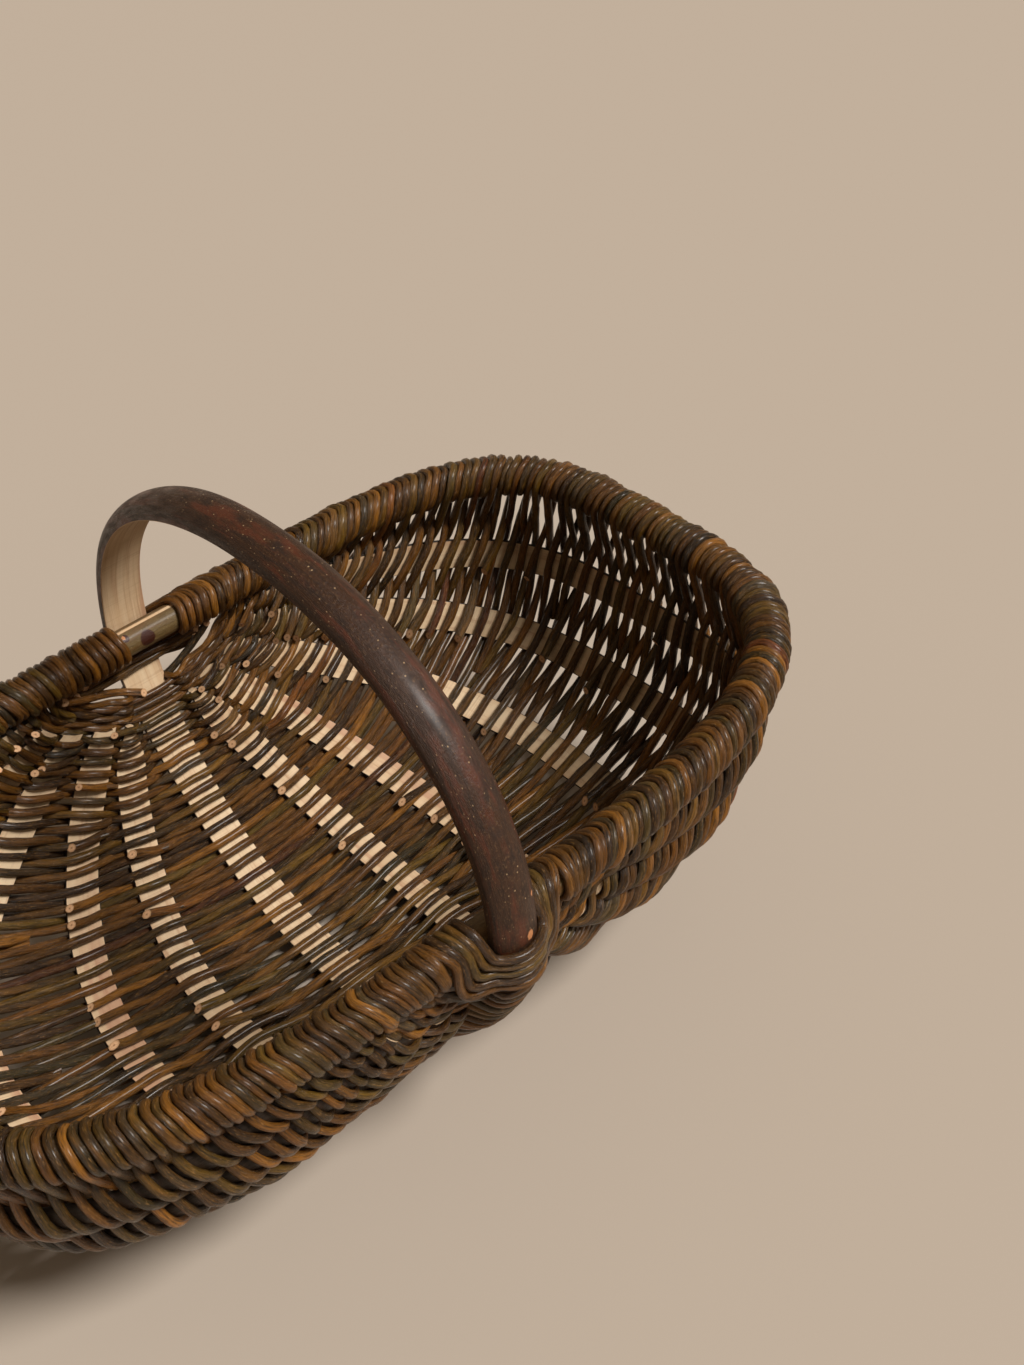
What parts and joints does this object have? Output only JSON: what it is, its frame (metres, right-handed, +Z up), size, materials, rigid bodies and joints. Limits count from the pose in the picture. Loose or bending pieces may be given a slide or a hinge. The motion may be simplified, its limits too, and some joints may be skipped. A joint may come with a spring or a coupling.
{
  "type": "melon basket",
  "caption": "Round-bottomed oval rib basket of woven willow with a wrapped rim and one fixed hoop handle over its middle, for carrying and gathering.",
  "frame": {"origin": "on the ground under the middle of the basket, at the centre of the bounding box's base", "axes": "+Z up, +X along the basket, +Y across it towards the ear where the rim is lapped"},
  "size_m": [0.5314, 0.338, 0.2997],
  "materials": {
    "handle_bark": "cleft rod with its bark on, dark purple-brown with pale specks, satin, and a pale flat inner face",
    "rim_bark": "grey-green bark, satin",
    "split_wood": "pale cleft wood, matte",
    "willow_wrap": "unpeeled willow rods, ochre to dark brown, waxy sheen",
    "willow_weave": "unpeeled willow rods, dark brown to olive and reddish brown, waxy sheen"
  },
  "bodies": {
    "root": {"rim_hoop": "rim_bark", "handle_hoop": "handle_bark", "rib_right_1": "split_wood", "rib_right_2": "split_wood", "rib_right_3": "split_wood", "rib_right_4": "split_wood", "rib_right_5": "split_wood", "rim_wrap_right": "willow_wrap", "rib_left_1": "split_wood", "rib_left_2": "split_wood", "rib_left_3": "split_wood", "rib_left_4": "split_wood", "rib_left_5": "split_wood", "rim_wrap_left": "willow_wrap", "ear_lashing_far": "willow_weave", "ear_lashing_near": "willow_weave", "weave_far_1": "willow_weave", "weave_near_1": "willow_weave", "weave_far_2": "willow_weave", "weave_near_2": "willow_weave", "weave_middle": "willow_weave"}
  },
  "joints": []
}
